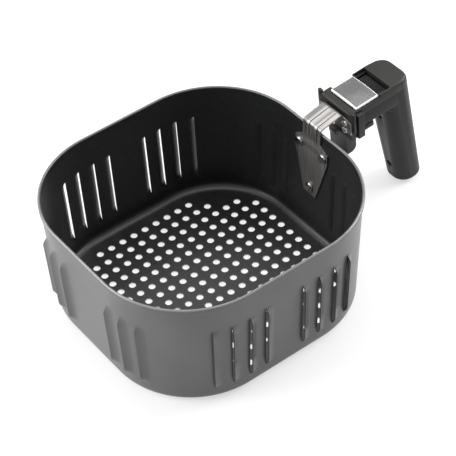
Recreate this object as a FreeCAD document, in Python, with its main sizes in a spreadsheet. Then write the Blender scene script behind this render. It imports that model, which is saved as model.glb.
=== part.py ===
"""Fry basket of an air fryer with its pistol-grip handle, as a parametric document in millimetres.

The origin is the centre of the basket's underside, +Z is up and +X points from the basket to the handle.
The handle pieces are drawn in the handle's own frame, whose origin lies on the front face of the front
block, with its X axis along the neck, and that frame leans back by handle_tilt.
"""
import FreeCAD, Part
import math
import os
import re

import Sketcher
from FreeCAD import Placement, Rotation, Vector

SIZES = {
    # basket: one deep-drawn sheet with a rolled rim
    "rim_length": 202.2,
    "rim_width": 193.8,
    "tub_height": 94.4,
    "sheet": 0.8,
    "corner_radius": 67.0,
    "draft_angle": 2.35,
    "floor_radius": 9.0,
    "rim_bead": 1.5,
    # round holes in the floor, with the pattern's corners left out
    "hole_diameter": 5.2,
    "hole_pitch": 10.0,
    "hole_margin": 3.0,
    "hole_cut_length": 38.0,
    "hole_cut_width": 26.0,
    # louvres in the walls, two groups on each wall
    "louvre_length": 57.0,
    "louvre_middle": 41.0,
    "louvre_pitch": 13.4,
    "louvre_start": 15.5,
    "louvre_group": 4,
    "end_louvre_start": 25.4,
    "end_louvre_group": 3,
    "louvre_rise": 3.2,
    "louvre_width": 7.0,
    "louvre_end": 5.0,
    "louvre_crest": 0.2,
    "louvre_sheet": 1.12,
    # bent strap that carries the handle
    "strap": 1.2,
    "strap_half": 9.5,
    "strap_low": 34.3,
    "strap_tip_half": 6.5,
    "ear_half": 17.2,
    "ear_low": 71.0,
    "ear_high": 80.0,
    "ear_neck": 85.0,
    "strap_lift": 3.4,
    "strap_peak": 7.3,
    "inner_bend": 1.5,
    "outer_bend": 3.0,
    "plate_half": 17.0,
    "plate_drop": 7.6,
    "plate_shoulder": 2.8,
    "plate_neck": 5.6,
    "rib_rise": 0.7,
    "rib_inner": 2.6,
    "rib_outer": 5.6,
    "rib_low": 87.0,
    # rivets through strap and wall
    "rivet_radius": 2.0,
    "rivet_head": 3.9,
    "rivet_dome": 1.5,
    "rivet_tail": 3.4,
    "rivet_tail_height": 0.9,
    "rivet_side": 12.7,
    "rivet_high": 75.3,
    "rivet_low": 40.6,
    # place of the handle's frame
    "handle_reach": 119.0,
    "handle_level": 95.0,
    "handle_tilt": 4.0,
    # clearances
    "fit_gap": 0.15,
    "slide_gap": 0.3,
    "bore_gap": 0.05,
    # front block: collar, wings, top bar and guide tongue
    "front_wall": 3.0,
    "block_depth": 11.0,
    "block_half": 16.2,
    "collar_half": 18.4,
    "wing_half": 19.3,
    "wing_depth": 2.4,
    "wing_inner": 15.8,
    "wing_rise": 12.0,
    "wing_drop": 6.0,
    "groove_width": 2.6,
    "block_drop": 14.0,
    "block_rise": 7.6,
    "bar_depth": 6.2,
    "bar_rise": 10.4,
    "bar_round": 1.8,
    "block_edge": 0.7,
    "tongue_half": 9.0,
    "tongue_drop": 33.5,
    "tongue_front": 0.6,
    "tongue_back": 9.6,
    "tongue_round": 5.0,
    # neck and grip
    "tenon_half": 14.5,
    "tenon_drop": 10.0,
    "neck_half": 15.2,
    "neck_drop": 10.5,
    "neck_round": 3.0,
    "neck_step": 0.05,
    "crown_rise": 11.6,
    "crown_radius": 60.0,
    "shoulder_round": 1.0,
    "crown_back_round": 5.8,
    "grip_front": 34.2,
    "grip_depth": 22.9,
    "grip_lean": 15.2,
    "grip_drop": 96.5,
    "grip_end_half": 11.8,
    "grip_top_round": 9.0,
    "grip_end_round": 10.4,
    "grip_end_edge": 2.6,
    "web_round": 4.0,
    "shell_wall": 2.6,
    "hollow_rise": -3.0,
    # front cover of the grip
    "cover_depth": 6.0,
    "cover_high": 16.0,
    "cover_low": 90.0,
    "post_radius": 3.4,
    "post_high": 27.0,
    "post_low": 80.0,
    # top cover with the slide channel
    "split_rise": 3.0,
    "channel_front": 6.9,
    "channel_back": 38.5,
    "channel_half": 12.0,
    "channel_floor": 4.4,
    "deck_rise": 8.5,
    "slot_depth": 1.0,
    "slot_low": 5.4,
    "slot_high": 7.1,
    # room for the mechanism in the neck
    "room_front_half": 8.5,
    "room_step": 24.0,
    "room_back": 39.0,
    "room_half": 11.8,
    "hatch_half": 7.0,
    "hatch_length": 7.0,
    # release button
    "button_length": 9.2,
    "button_half": 11.4,
    "button_top": 7.4,
    "button_base": 0.9,
    "button_lip": 2.2,
    "button_travel": 3.0,
    "button_round": 1.0,
    "rib_depth": 0.7,
    "rib_pitch": 1.6,
    "stem_half": 6.0,
    "stem_depth": 4.0,
    "stem_inset": 3.2,
    "window_high": 0.2,
    "window_low": 3.4,
    "stem_web": 1.2,
    # latch lever and its pin
    "pivot_reach": 14.0,
    "pivot_drop": 1.4,
    "pin_radius": 1.5,
    "pin_half": 13.2,
    "hub_radius": 3.6,
    "hub_half": 8.2,
    "lever_half": 4.0,
    "lever_thick": 2.0,
    "hook_reach": 4.0,
    "hook_width": 2.3,
    "hook_high": 10.8,
    "hook_thick": 1.8,
    "hook_drop": 14.6,
    "lever_knee": 4.5,
    # compression springs under the button
    "spring_radius": 2.1,
    "spring_wire": 0.5,
    "spring_turns": 5,
    "spring_side": 8.8,
    # cover under the neck
    "hatch_cover_length": 11.0,
    "hatch_cover_half": 14.0,
    "hatch_cover_drop": 15.5,
    "hatch_cover_round": 1.6,
    # clear sliding guard over the button
    "guard_front": 7.4,
    "guard_length": 20.3,
    "guard_half": 13.5,
    "guard_top": 11.2,
    "guard_wall": 1.4,
    "guard_bow": 0.7,
    "guard_travel": 10.3,
    "guard_leg": 9.0,
    "guard_round": 0.6,
    # screws
    "screw_radius": 1.1,
    "screw_head": 2.4,
    "screw_head_height": 1.6,
    "screw_length": 8.0,
    "plate_screw_side": 11.3,
    "plate_screw_high": 1.0,
    "plate_screw_low": 5.2,
    "hatch_screw_side": 11.4,
    "cover_screw_reach": 46.0,
    "cover_screw_side": 7.5,
}

doc = FreeCAD.newDocument("fry_basket")
sheet = doc.addObject("Spreadsheet::Sheet", "sizes")
for row, (alias, number) in enumerate(SIZES.items(), 1):
    sheet.set(f"A{row}", alias)
    sheet.set(f"B{row}", str(number))
    sheet.setAlias(f"B{row}", alias)
doc.recompute()

FUNCTIONS = ("tan", "cos", "sin", "sqrt")
SUBPARTS = {}


# Sizes and expressions

def value(text):
    """Number that an expression of size names comes to."""
    return float(sheet.evalExpression(text))


def cells(text):
    """The same expression, spelled with the cells of the sheet."""
    return re.sub(r"[a-z_]+", lambda m: m[0] if m[0] in FUNCTIONS else "sizes." + m[0], text)


def bind(thing, **properties):
    """Bind properties to expressions; two underscores in a name stand for a dot."""
    for name, text in properties.items():
        thing.setExpression(name.replace("__", "."), cells(text))


# Sketches and features of a body

def new_body(name):
    return doc.addObject("PartDesign::Body", name)


def sketch_on(body, name, plane, shift="0"):
    """Empty sketch on one of the body's origin planes, moved along the plane's normal."""
    sketch = body.newObject("Sketcher::SketchObject", name)
    support = next(f for f in body.Origin.OriginFeatures if f.Role == plane)
    sketch.AttachmentSupport = [(support, "")]
    sketch.MapMode = "FlatFace"
    bind(sketch, AttachmentOffset__Base__z=shift)
    return sketch


def pin_down(sketch, kind, name, geometry, point, text):
    """Dimension from the sketch's origin to a point, bound to an expression."""
    index = sketch.addConstraint(Sketcher.Constraint(kind, -1, 1, geometry, point, value(text)))
    sketch.renameConstraint(index, name)
    bind(sketch, **{"Constraints__" + name: text})


def polygon(body, name, plane, points, shift="0"):
    """Closed outline of straight lines through points given as pairs of expressions."""
    sketch = sketch_on(body, name, plane, shift)
    corners = [Vector(value(x), value(y), 0) for x, y in points]
    count = len(corners)
    for index in range(count):
        sketch.addGeometry(Part.LineSegment(corners[index], corners[(index + 1) % count]))
    for index in range(count):
        sketch.addConstraint(Sketcher.Constraint("Coincident", index, 2, (index + 1) % count, 1))
    for index, (x, y) in enumerate(points):
        pin_down(sketch, "DistanceX", f"across{index}", index, 1, x)
        pin_down(sketch, "DistanceY", f"along{index}", index, 1, y)
    return sketch


def box_outline(body, name, plane, left, right, low, high, shift="0"):
    corners = [(left, low), (right, low), (right, high), (left, high)]
    return polygon(body, name, plane, corners, shift)


def rounded_outline(body, name, plane, left, right, low, high, radius, shift="0"):
    """Rectangle with four equal round corners."""
    sketch = sketch_on(body, name, plane, shift)
    x0, x1, y0, y1, r = (value(text) for text in (left, right, low, high, radius))
    sides = [
        (Vector(x0 + r, y0, 0), Vector(x1 - r, y0, 0), Vector(x1 - r, y0 + r, 0)),
        (Vector(x1, y0 + r, 0), Vector(x1, y1 - r, 0), Vector(x1 - r, y1 - r, 0)),
        (Vector(x1 - r, y1, 0), Vector(x0 + r, y1, 0), Vector(x0 + r, y1 - r, 0)),
        (Vector(x0, y1 - r, 0), Vector(x0, y0 + r, 0), Vector(x0 + r, y0 + r, 0)),
    ]
    for quarter, (start, end, centre) in enumerate(sides):
        sketch.addGeometry(Part.LineSegment(start, end))
        circle = Part.Circle(centre, Vector(0, 0, 1), r)
        first = (quarter - 1) * math.pi / 2
        sketch.addGeometry(Part.ArcOfCircle(circle, first, first + math.pi / 2))
    for index in range(8):
        sketch.addConstraint(Sketcher.Constraint("Tangent", index, 2, (index + 1) % 8, 1))
    for line, kind in ((0, "Horizontal"), (2, "Vertical"), (4, "Horizontal"), (6, "Vertical")):
        sketch.addConstraint(Sketcher.Constraint(kind, line))
    for arc in (3, 5, 7):
        sketch.addConstraint(Sketcher.Constraint("Equal", 1, arc))
    index = sketch.addConstraint(Sketcher.Constraint("Radius", 1, r))
    sketch.renameConstraint(index, "corner")
    bind(sketch, Constraints__corner=radius)
    pin_down(sketch, "DistanceX", "right", 2, 1, right)
    pin_down(sketch, "DistanceX", "left", 6, 1, left)
    pin_down(sketch, "DistanceY", "low", 0, 1, low)
    pin_down(sketch, "DistanceY", "high", 4, 1, high)
    return sketch


def circles(body, name, plane, centres, radius, shift="0"):
    """Equal circles about centres given as pairs of expressions."""
    sketch = sketch_on(body, name, plane, shift)
    for index, (x, y) in enumerate(centres):
        middle = Vector(value(x), value(y), 0)
        sketch.addGeometry(Part.Circle(middle, Vector(0, 0, 1), value(radius)))
        pin_down(sketch, "DistanceX", f"across{index}", index, 3, x)
        pin_down(sketch, "DistanceY", f"along{index}", index, 3, y)
        number = sketch.addConstraint(Sketcher.Constraint("Radius", index, value(radius)))
        sketch.renameConstraint(number, f"radius{index}")
        bind(sketch, **{f"Constraints__radius{index}": radius})
    return sketch


def pad(body, sketch, length, both_ways=False, backwards=False):
    feature = body.newObject("PartDesign::Pad", sketch.Name + "_pad")
    feature.Profile = sketch
    feature.SideType = "Symmetric" if both_ways else "One side"
    feature.Reversed = backwards
    bind(feature, Length=length)
    sketch.Visibility = False
    doc.recompute()
    return feature


def pocket(body, sketch, length=None, both_ways=False, backwards=False):
    """Cut a sketch out of the body, and make sure that it removes something."""
    before = body.Shape.Volume
    feature = body.newObject("PartDesign::Pocket", sketch.Name + "_pocket")
    feature.Profile = sketch
    feature.SideType = "Symmetric" if both_ways else "One side"
    feature.Reversed = backwards
    if length is None:
        feature.Type = "ThroughAll"
    else:
        bind(feature, Length=length)
    sketch.Visibility = False
    doc.recompute()
    if not body.Shape.Volume < before:
        raise RuntimeError(f"{feature.Name} removes nothing")
    return feature


def turned(body, points):
    """Solid of revolution about Z from a half outline of radius and height."""
    sketch = polygon(body, body.Name + "_half", "XZ_Plane", points)
    feature = body.newObject("PartDesign::Revolution", body.Name + "_turned")
    feature.Profile = sketch
    feature.ReferenceAxis = (sketch, ["V_Axis"])
    feature.Angle = 360
    doc.recompute()
    return feature


def round_edges(body, name, radius, wanted):
    """Fillet the edges of the body whose middle point passes a test."""
    base = body.Tip
    names = [f"Edge{n}" for n, edge in enumerate(base.Shape.Edges, 1) if wanted(edge)]
    feature = body.newObject("PartDesign::Fillet", name)
    feature.Base = (base, names)
    bind(feature, Radius=radius)
    doc.recompute()
    return feature


def middle(edge):
    return edge.valueAt((edge.FirstParameter + edge.LastParameter) / 2)


def runs_along(edge, axis):
    """True for a straight edge along X, Y or Z (0, 1 or 2)."""
    if not isinstance(edge.Curve, (Part.Line, Part.LineSegment)):
        return False
    return abs(edge.tangentAt(edge.FirstParameter)[axis]) > 0.99


# Primitives and booleans

def block(name, low, high):
    """Box between two corners given as triples of expressions."""
    box = doc.addObject("Part::Box", name)
    bind(box, Length=f"({high[0]}) - ({low[0]})", Width=f"({high[1]}) - ({low[1]})")
    bind(box, Height=f"({high[2]}) - ({low[2]})")
    bind(box, Placement__Base__x=low[0], Placement__Base__y=low[1], Placement__Base__z=low[2])
    return box


def rod(name, radius, length, base, direction):
    """Cylinder from a base point, given as a triple of expressions, along a direction."""
    cylinder = doc.addObject("Part::Cylinder", name)
    bind(cylinder, Radius=radius, Height=length)
    cylinder.Placement = Placement(Vector(), Rotation(Vector(0, 0, 1), Vector(*direction)))
    bind(cylinder, Placement__Base__x=base[0], Placement__Base__y=base[1], Placement__Base__z=base[2])
    return cylinder


def cut(name, base, tool):
    result = doc.addObject("Part::Cut", name)
    result.Base = base
    result.Tool = tool
    doc.recompute()
    return result


def common(name, base, tool):
    result = doc.addObject("Part::Common", name)
    result.Base = base
    result.Tool = tool
    doc.recompute()
    return result


def fuse(name, pieces):
    result = doc.addObject("Part::MultiFuse", name)
    result.Shapes = pieces
    result.Refine = True
    doc.recompute()
    return result


def solid_feature(name, shape):
    feature = doc.addObject("Part::Feature", name)
    feature.Shape = shape
    return feature


def copies(name, master, places):
    """One group of equal solids, a copy of the master at each place."""
    doc.recompute()
    shapes = []
    for place in places:
        shape = master.Shape.copy()
        shape.Placement = place.multiply(shape.Placement)
        shapes.append(shape)
    return solid_feature(name, Part.makeCompound(shapes))


def finish(thing, label, place=None):
    """Name a finished sub-part and put it in its place."""
    thing.Label = label
    if place is not None:
        thing.Placement = place.multiply(thing.Placement)
    SUBPARTS[label] = thing


# Places shared by several pieces

WALL_LEAN = "tub_height * tan(draft_angle)"
FLOOR_HALF_LENGTH = f"rim_length / 2 - 2 * rim_bead + sheet - {WALL_LEAN}"
FLOOR_HALF_WIDTH = f"rim_width / 2 - 2 * rim_bead + sheet - {WALL_LEAN}"
FLOOR_CORNER = f"corner_radius - {WALL_LEAN}"

draft = math.radians(value("draft_angle"))
HANDLE = Placement(
    Vector(value("handle_reach"), 0, value("handle_level")),
    Rotation(Vector(0, 1, 0), -value("handle_tilt")),
)


def wall_place(side, height, depth):
    """Frame on the handle's wall: local Z points out of the basket, depth inside the outer face."""
    out = Vector(math.cos(draft), 0, -math.sin(draft))
    foot = Vector(value(FLOOR_HALF_LENGTH) + height * math.tan(draft), side, height)
    return Placement(foot - out * depth, Rotation(Vector(0, 0, 1), out))


def rivet_spots():
    side = value("rivet_side")
    return [(side, value("rivet_high")), (-side, value("rivet_high")), (0, value("rivet_low"))]


def in_handle(x, y, z, direction):
    """Place in the handle's frame whose local Z points along a direction."""
    return Placement(Vector(x, y, z), Rotation(Vector(0, 0, 1), Vector(*direction)))


# Basket

def tub():
    """Drafted wall and rounded floor, shelled to the sheet's thickness, with a rolled rim."""
    body = new_body("tub")
    length, width = FLOOR_HALF_LENGTH, FLOOR_HALF_WIDTH
    outline = rounded_outline(
        body, "floor_outline", "XY_Plane", f"-({length})", length, f"-({width})", width, FLOOR_CORNER
    )
    block_pad = pad(body, outline, "tub_height")
    faces = enumerate(block_pad.Shape.Faces, 1)
    walls = [f"Face{n}" for n, face in faces if abs(face.normalAt(0, 0).z) < 0.5]
    drafted = body.newObject("PartDesign::Draft", "drafted_walls")
    drafted.Base = (block_pad, walls)
    drafted.NeutralPlane = (next(f for f in body.Origin.OriginFeatures if f.Role == "XY_Plane"), "")
    drafted.Reversed = True
    bind(drafted, Angle="draft_angle")
    doc.recompute()
    round_edges(body, "floor_edge", "floor_radius", lambda edge: abs(middle(edge).z) < 0.01)
    rounded = body.Tip
    top = max(rounded.Shape.Faces, key=lambda face: face.CenterOfMass.z)
    index = next(n for n, face in enumerate(rounded.Shape.Faces, 1) if face.isSame(top))
    shell = body.newObject("PartDesign::Thickness", "sheet_shell")
    shell.Base = (rounded, [f"Face{index}"])
    shell.Reversed = True
    shell.Mode = "Skin"
    shell.Join = "Arc"
    bind(shell, Value="sheet")
    doc.recompute()

    half_length, half_width = "rim_length / 2 - rim_bead", "rim_width / 2 - rim_bead"
    rim_corner = "corner_radius + rim_bead - sheet"
    level = "tub_height - rim_bead"
    path = rounded_outline(
        body, "rim_path", "XY_Plane", f"-({half_length})", half_length, f"-({half_width})", half_width,
        rim_corner, level
    )
    section = circles(
        body, "rim_section", "XZ_Plane", [(half_length, level)], "rim_bead", f"{half_width} - ({rim_corner})"
    )
    rim = body.newObject("PartDesign::AdditivePipe", "rolled_rim")
    rim.Profile = section
    rim.Spine = (path, [f"Edge{n}" for n in range(1, 9)])
    doc.recompute()
    return body


def floor_holes():
    """Cylinders for a square grid of holes whose corner groups are left out."""
    radius, pitch = value("hole_diameter") / 2, value("hole_pitch")
    room = value("floor_radius") + radius + value("hole_margin")
    columns = int((value(FLOOR_HALF_LENGTH) - room) // pitch)
    rows = int((value(FLOOR_HALF_WIDTH) - room - pitch / 2) // pitch) + 1
    last_x, last_y = columns * pitch, (rows - 0.5) * pitch
    drills = []
    for column in range(-columns, columns + 1):
        for row in range(-rows, rows):
            x, y = column * pitch, (row + 0.5) * pitch
            inset = (last_x - abs(x)) / value("hole_cut_length") + (last_y - abs(y)) / value("hole_cut_width")
            if inset >= 1:
                drills.append(Part.makeCylinder(radius, 3 * value("sheet"), Vector(x, y, -value("sheet"))))
    return solid_feature("floor_holes", Part.makeCompound(drills))


def louvre_wedge(name, drop, depth):
    """Wedge with sloping ends in a louvre's frame, lowered by a drop and carried on to a depth.

    X runs along the wall from the louvre's mouth, Y out of the wall and Z down. The wedge is highest at
    the mouth and dies out behind it.
    """
    wedge = doc.addObject("Part::Wedge", name)
    beyond = f"({depth} - {drop}) / louvre_rise"
    base_half = f"(louvre_length / 2 + louvre_end * {beyond})"
    crest_half = "(louvre_length / 2 - louvre_end)"
    bind(wedge, Xmin="0", Xmax=f"louvre_width * (1 + {beyond})", X2min="0", X2max="louvre_crest")
    bind(wedge, Ymin=f"-{depth}", Ymax=f"louvre_rise - {drop}")
    bind(wedge, Zmin=f"-{base_half}", Zmax=base_half, Z2min=f"-{crest_half}", Z2max=crest_half)
    return wedge


def louvre_places():
    """Frames of all louvres, set out by length along the wall's outline at their middle height.

    The long walls have their louvres evenly to both sides of the middle. The end walls have their slits so,
    and leave more room in the middle, where the strap is.
    """
    height = value("louvre_middle")
    spread = height * math.tan(draft)
    half_length, half_width = value(FLOOR_HALF_LENGTH) + spread, value(FLOOR_HALF_WIDTH) + spread
    corner = value(FLOOR_CORNER) + spread
    places = []
    for quarter in range(4):
        if quarter % 2 == 0:
            face, side, shift = half_length, half_width, 0
            start, count = value("end_louvre_start"), int(value("end_louvre_group"))
        else:
            face, side, shift = half_width, half_length, value("louvre_width") / 2
            start, count = value("louvre_start"), int(value("louvre_group"))
        offsets = [start + n * value("louvre_pitch") for n in range(count)]
        straight = side - corner
        turn = Rotation(Vector(0, 0, 1), 90 * quarter)
        for offset in [-s for s in offsets] + offsets:
            run = offset - shift
            over = math.copysign(max(abs(run) - straight, 0), run)
            angle = over / corner
            flat = run - over
            out = Vector(math.cos(angle), math.sin(angle), 0)
            foot = Vector(face - corner, flat, 0) + out * corner
            foot.z = height
            normal = out * math.cos(draft) - Vector(0, 0, math.sin(draft))
            downward = out * -math.sin(draft) - Vector(0, 0, math.cos(draft))
            tangent = Vector(-out.y, out.x, 0)
            frame = Rotation(tangent, normal, downward, "XYZ")
            places.append(Placement(turn.multVec(foot), turn.multiply(frame)))
    return places


def basket():
    """Tub with its perforated floor, louvred walls and rivet holes."""
    hollow = louvre_wedge("louvre_hollow", "louvre_sheet * sheet", "3 * sheet")
    hood = cut("louvre_hood", louvre_wedge("louvre_block", "0", "0.75 * sheet"), hollow)
    places = louvre_places()
    openings = copies("louvre_openings", hollow, places)
    covers = copies("louvre_hoods", hood, places)
    drill = rod("rivet_drill", "rivet_radius + bore_gap", "6 * sheet", ("0", "0", "-3 * sheet"), (0, 0, 1))
    rivet_holes = copies("wall_rivet_holes", drill, [wall_place(y, z, 0) for y, z in rivet_spots()])
    drilled = cut("tub_with_floor_holes", tub(), floor_holes())
    opened = cut("tub_with_slots", drilled, openings)
    riveted = cut("tub_with_rivet_holes", opened, rivet_holes)
    finish(fuse("louvred_tub", [riveted, covers]), "basket")


# Strap and rivets

def offset_line(points, distance):
    """The same open line of points in the XZ plane, moved to its left by a distance."""
    moved = []
    for first, second in zip(points, points[1:]):
        along = (second - first).normalize()
        left = Vector(-along.z, 0, along.x) * distance
        moved.append((first + left, second + left, along))
    result = [moved[0][0]]
    for (start, _, along), (other, _, direction) in zip(moved, moved[1:]):
        gap = other - start
        run = (gap.x * direction.z - gap.z * direction.x) / (along.x * direction.z - along.z * direction.x)
        result.append(start + along * run)
    result.append(moved[-1][1])
    return result


def rounded_line(points, radii):
    """Edges of an open line whose inner corners are arcs."""
    edges, start = [], points[0]
    for before, corner, after, radius in zip(points, points[1:], points[2:], radii):
        back, ahead = (before - corner).normalize(), (after - corner).normalize()
        half = back.getAngle(ahead) / 2
        first, last = corner + back * (radius / math.tan(half)), corner + ahead * (radius / math.tan(half))
        crest = corner + (back + ahead).normalize() * (radius / math.sin(half) - radius)
        edges.append(Part.LineSegment(start, first).toShape())
        edges.append(Part.Arc(first, crest, last).toShape())
        start = last
    edges.append(Part.LineSegment(start, points[-1]).toShape())
    return edges


def bent_strip(points, radii, thickness, half_width):
    """Bent sheet that lies to the left of a line of points, about the XZ plane."""
    outer = offset_line(points, thickness)
    edges = rounded_line(points, radii) + rounded_line(outer, [r + thickness for r in radii])
    edges.append(Part.LineSegment(points[0], outer[0]).toShape())
    edges.append(Part.LineSegment(points[-1], outer[-1]).toShape())
    face = Part.Face(Part.Wire(Part.__sortEdges__(edges)))
    face.translate(Vector(0, -half_width, 0))
    return face.extrude(Vector(0, 2 * half_width, 0))


def strap_line():
    """Inner side of the strap's bends: up the wall, over the rim and down the front block."""
    inside = value(FLOOR_HALF_LENGTH) - value("sheet") / math.cos(draft)

    def on_wall(height):
        return Vector(inside + height * math.tan(draft), 0, height)

    top = HANDLE.multVec(Vector(-value("strap"), 0, value("strap_peak")))
    end = HANDLE.multVec(Vector(-value("strap"), 0, -value("plate_drop")))
    return [on_wall(value("strap_low")), on_wall(value("tub_height + strap_lift")), top, end]


def symmetric_plate(half_outline, near, far):
    """Prism along X of an outline given by its right half as pairs of Y and Z."""
    points = [Vector(near, y, z) for y, z in half_outline]
    points += [Vector(near, -y, z) for y, z in reversed(half_outline)]
    return Part.Face(Part.makePolygon(points + points[:1])).extrude(Vector(far - near, 0, 0))


def handle_strap():
    """Strap with eared inner leg, ribbed bridge and a plate that spreads over the front block."""
    line = strap_line()
    radii = [value("inner_bend"), value("outer_bend")]
    strip = bent_strip(line, radii, value("strap"), value("ear_half") + value("plate_half"))
    parting = (line[1].x + line[2].x) / 2
    crest = line[2].z + 4 * value("outer_bend")
    narrow = value("strap_half")
    inner_half = [
        (value("strap_tip_half"), 0),
        (value("strap_tip_half"), value("strap_low")),
        (value("ear_half"), value("ear_low")),
        (value("ear_half"), value("ear_high")),
        (narrow, value("ear_neck")),
        (narrow, crest),
    ]
    shoulder = value("handle_level + plate_shoulder")
    neck = value("handle_level + plate_neck")
    outer_half = [(value("plate_half"), 0), (value("plate_half"), shoulder), (narrow, neck), (narrow, crest)]
    leg = strip.common(symmetric_plate(inner_half, 0, parting))
    plate = strip.common(symmetric_plate(outer_half, parting, 2 * parting))
    strap = leg.fuse(plate)

    rib_line = offset_line(line, value("strap") / 2)
    rib_radii = [r + value("strap") / 2 for r in radii]
    inner, outer = value("rib_inner"), value("rib_outer")
    ridge = bent_strip(rib_line, rib_radii, value("strap") / 2 + value("rib_rise"), outer)
    for side in (1, -1):
        low = Vector(0, inner if side > 0 else -outer, value("rib_low"))
        band = Part.makeBox(line[2].x - value("outer_bend"), outer - inner, value("tub_height"), low)
        strap = strap.fuse(ridge.common(band))
    strap = strap.removeSplitter()

    drill = Part.makeCylinder(value("rivet_radius + bore_gap"), 8 * value("strap"))
    for side, height in rivet_spots():
        tool = drill.copy()
        tool.Placement = wall_place(side, height, 4 * value("strap"))
        strap = strap.cut(tool)
    screw_drill = Part.makeCylinder(value("screw_radius + bore_gap"), 8 * value("strap"))
    for side, height in plate_screw_spots():
        tool = screw_drill.copy()
        tool.Placement = HANDLE.multiply(in_handle(-4 * value("strap"), side, height, (1, 0, 0)))
        strap = strap.cut(tool)
    finish(solid_feature("bent_strap", strap), "handle_strap")


def wall_rivets():
    """Domed rivets, headed inside the strap and outside the wall."""
    body = new_body("rivet")
    tail = "sheet + strap + rivet_tail_height"
    turned(body, [
        ("0", "-rivet_dome"),
        ("rivet_head", "-rivet_dome"),
        ("rivet_head", "0"),
        ("rivet_radius", "0"),
        ("rivet_radius", "sheet + strap"),
        ("rivet_tail", "sheet + strap"),
        ("rivet_tail", tail),
        ("0", tail),
    ])
    head = value("rivet_dome")
    round_edges(
        body, "dome", "0.85 * rivet_dome", lambda edge: abs(middle(edge).z + head) < 0.01 and edge.Length > 1
    )
    depth = value("sheet + strap")
    finish(copies("rivets", body, [wall_place(y, z, depth) for y, z in rivet_spots()]), "wall_rivets")


# Screws

def screw(name):
    """Pan head screw along Z, with the underside of its head at zero."""
    body = new_body(name)
    turned(body, [
        ("0", "-screw_head_height"),
        ("screw_head", "-screw_head_height"),
        ("screw_head", "0"),
        ("screw_radius", "0"),
        ("screw_radius", "screw_length"),
        ("0", "screw_length"),
    ])
    head = value("screw_head_height")
    round_edges(
        body, name + "_dome", "0.6 * screw_head_height",
        lambda edge: abs(middle(edge).z + head) < 0.01 and edge.Length > 1
    )
    return body


def plate_screw_names():
    """Places of the plate screws across and up the front block, as expressions."""
    heights = ("plate_screw_high", "-plate_screw_low")
    return [(side, height) for side in ("plate_screw_side", "-plate_screw_side") for height in heights]


def plate_screw_spots():
    return [(value(side), value(height)) for side, height in plate_screw_names()]


def grip_front_at(height):
    """X of the grip's front face at a height in the handle's frame, as an expression."""
    return f"(grip_front + grip_lean * (crown_rise - ({height})) / (crown_rise + grip_drop))"


def screws():
    """Four groups of equal screws."""
    master = screw("screw")
    plate = [in_handle(-value("strap"), y, z, (1, 0, 0)) for y, z in plate_screw_spots()]
    finish(copies("plate_screw_group", master, plate), "plate_screws", HANDLE)
    side, seat = value("hatch_screw_side"), value("screw_head_height - hatch_cover_drop")
    hatch = [in_handle(value(HATCH_SCREW), y, seat, (0, 0, 1)) for y in (side, -side)]
    finish(copies("hatch_screw_group", master, hatch), "hatch_screws", HANDLE)
    reach, side = value("cover_screw_reach"), value("cover_screw_side")
    top = [in_handle(reach, y, value("hollow_rise"), (0, 0, 1)) for y in (side, -side)]
    finish(copies("top_screw_group", master, top), "top_cover_screws", HANDLE)
    posts = []
    for drop in ("post_high", "post_low"):
        front = value(grip_front_at(f"-{drop}")) + value("shell_wall")
        posts.append(in_handle(front, 0, -value(drop), (1, 0, 0)))
    finish(copies("grip_screw_group", master, posts), "grip_screws", HANDLE)


# Front block

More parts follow.
